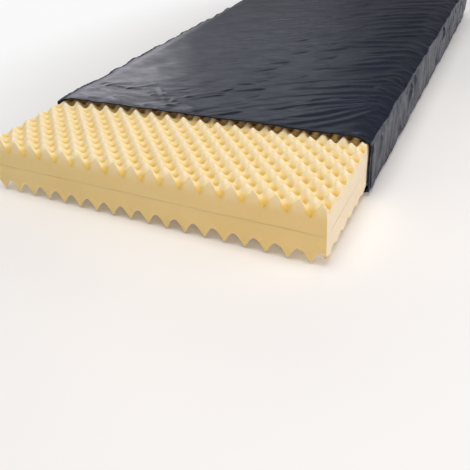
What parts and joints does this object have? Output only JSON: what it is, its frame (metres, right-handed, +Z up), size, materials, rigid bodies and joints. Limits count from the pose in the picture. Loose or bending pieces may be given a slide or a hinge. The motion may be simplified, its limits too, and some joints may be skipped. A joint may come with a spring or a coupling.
{
  "type": "pressure relief mattress",
  "caption": "Convoluted foam pressure relief mattress of two glued pads in a zipped coated-nylon cover, drawn back to bare the foot end.",
  "frame": {"origin": "on the floor, under the middle of the foam core", "axes": "+Y along the mattress towards the head end, with the bare foot end at -Y; +X across to the side without the zip; +Z up"},
  "size_m": [0.9288, 2.0376, 0.155],
  "materials": {
    "foam": "matte",
    "adhesive": "matte",
    "nylon": "satin",
    "stitched_nylon": "satin",
    "zip_tape": "matte",
    "zip_coil": "satin",
    "zip_metal": "satin"
  },
  "bodies": {
    "core": {"top_foam_pad": "foam", "bottom_foam_pad": "foam", "adhesive_layer": "adhesive"},
    "cover": {"cover_top_panel": "nylon", "cover_bottom_panel": "nylon", "cover_right_side_panel": "nylon", "cover_left_upper_panel": "nylon", "cover_left_lower_panel": "nylon", "cover_head_panel": "nylon", "open_hem_top": "stitched_nylon", "open_hem_bottom": "stitched_nylon", "open_hem_right": "stitched_nylon", "open_hem_left": "stitched_nylon", "top_seam_right": "stitched_nylon", "top_seam_left": "stitched_nylon", "top_seam_head": "stitched_nylon", "bottom_seam_right": "stitched_nylon", "bottom_seam_left": "stitched_nylon", "bottom_seam_head": "stitched_nylon", "corner_seam_right": "stitched_nylon", "corner_seam_left": "stitched_nylon", "zip_tape_upper": "zip_tape", "zip_tape_lower": "zip_tape", "zip_coil_upper": "zip_coil", "zip_coil_lower": "zip_coil", "zip_stop_foot": "zip_metal", "zip_stop_head": "zip_metal"},
    "slider": {"zip_slider": "zip_metal"},
    "pull_tab": {"zip_pull_tab": "zip_metal"}
  },
  "joints": [
    {"name": "cover_slide", "type": "slide", "parent": "core", "child": "cover", "axis": [0, 1, 0], "range_m": [0, 1.76]},
    {"name": "zip_slide", "type": "slide", "parent": "cover", "child": "slider", "axis": [0, 1, 0], "range_m": [0, 1.705]},
    {"name": "pull_tab_flip", "type": "hinge", "parent": "slider", "child": "pull_tab", "pos_m": [-0.4637, -0.7092, 0.06], "axis": [0, 0, 1], "range_deg": [0, 170]}
  ]
}
